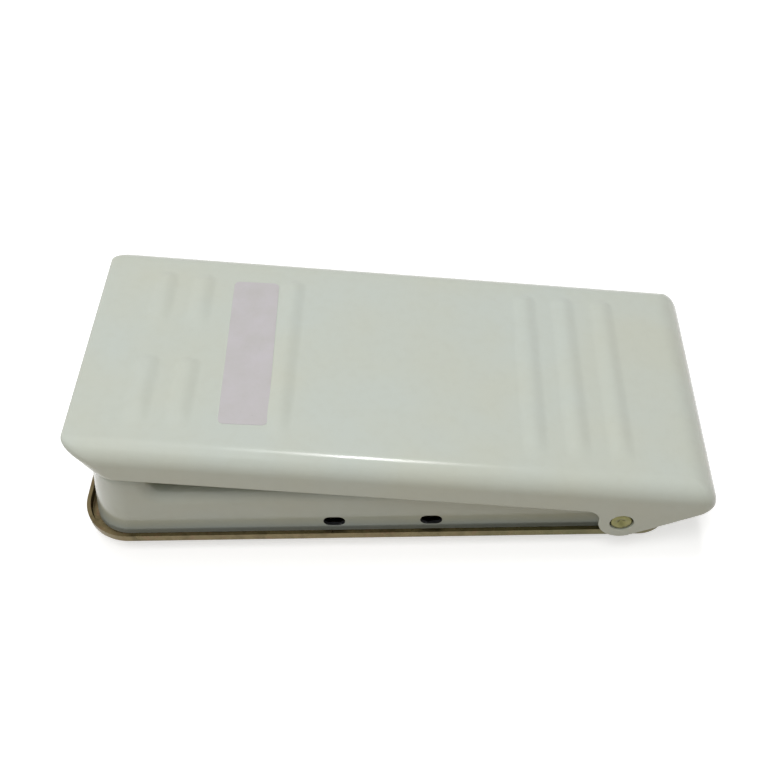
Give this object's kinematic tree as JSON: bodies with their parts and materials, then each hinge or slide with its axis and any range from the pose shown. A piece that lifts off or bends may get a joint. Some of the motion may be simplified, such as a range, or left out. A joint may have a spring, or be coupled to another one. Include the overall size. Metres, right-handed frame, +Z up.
{
  "type": "sewing machine foot pedal",
  "caption": "Foot speed control for a sewing machine: ribbed enamelled steel pedal hinged across a low steel box, with a carbon pile control inside.",
  "frame": {"origin": "on the floor, under the middle of the pedal's bounding box, between the feet", "axes": "+X from the toe end, where the cord goes in, to the heel end, where the hinge is; +Y to the far side; +Z up"},
  "size_m": [0.1965, 0.0886, 0.0545],
  "materials": {
    "enamel": "glossy greenish ivory stove enamel on drawn steel",
    "yellow_zinc": "zinc plated steel, yellow passivated",
    "bright_steel": "bright zinc plated steel",
    "spring_steel": "oiled spring steel",
    "black_rubber": "matt black rubber",
    "glazed_ceramic": "off-white steatite ceramic",
    "carbon": "pressed carbon, dull black",
    "brass": "bare brass",
    "insulating_board": "grey-brown insulating board",
    "capacitor_resin": "dipped resin, amber brown",
    "tinned_wire": "tinned copper wire"
  },
  "bodies": {
    "base": {"base_tray": "yellow_zinc", "housing": "enamel", "hinge_pin": "yellow_zinc", "hinge_bushes": "bright_steel", "retaining_rings": "spring_steel", "rubber_feet": "black_rubber", "foot_screws": "bright_steel", "cord_grommet": "black_rubber", "bump_stops": "black_rubber", "rod_guide": "bright_steel", "spring_seat": "bright_steel", "return_spring": "spring_steel", "lever_bracket": "bright_steel", "lever_pin": "bright_steel", "ceramic_block": "glazed_ceramic", "insulating_sheet": "insulating_board", "block_screws": "bright_steel", "carbon_discs": "carbon", "end_contacts": "brass", "terminal_screws": "brass", "noise_capacitor": "capacitor_resin", "capacitor_leads": "tinned_wire", "capacitor_clip": "bright_steel"},
    "pedal": {"pedal_cover": "enamel", "pusher_bracket": "bright_steel"},
    "rod": {"push_rod": "bright_steel", "rod_pin": "bright_steel", "rod_ring": "spring_steel", "spring_cap": "bright_steel"},
    "crank": {"lever": "bright_steel", "adjuster_screw": "bright_steel", "adjuster_nut": "bright_steel"},
    "contact": {"contact_bridge": "brass", "contact_plugs": "carbon"}
  },
  "joints": [
    {"name": "pedal_hinge", "type": "hinge", "parent": "base", "child": "pedal", "pos_m": [0.07045, 0, 0.0148], "axis": [0, -1, 0], "range_deg": [0, 5.6], "stiffness_Nm_per_rad": 9.14, "springref_deg": -2.98},
    {"name": "rod_slide", "type": "slide", "parent": "base", "child": "rod", "axis": [0, 0, -1], "range_m": [0, 0.00564], "deforming": ["return_spring"]},
    {"name": "crank_hinge", "type": "hinge", "parent": "base", "child": "crank", "pos_m": [-0.01555, 0, 0.016], "axis": [0, 1, 0], "range_deg": [0, 10.8]},
    {"name": "contact_slide", "type": "slide", "parent": "base", "child": "contact", "axis": [-1, 0, 0], "range_m": [0, 0.00113]}
  ],
  "couplings": [
    {"joint": "rod_slide", "follows": "pedal_hinge", "m_per_rad": 0.057612},
    {"joint": "crank_hinge", "follows": "pedal_hinge", "ratio": 1.9232},
    {"joint": "contact_slide", "follows": "pedal_hinge", "m_per_rad": 0.011481}
  ]
}
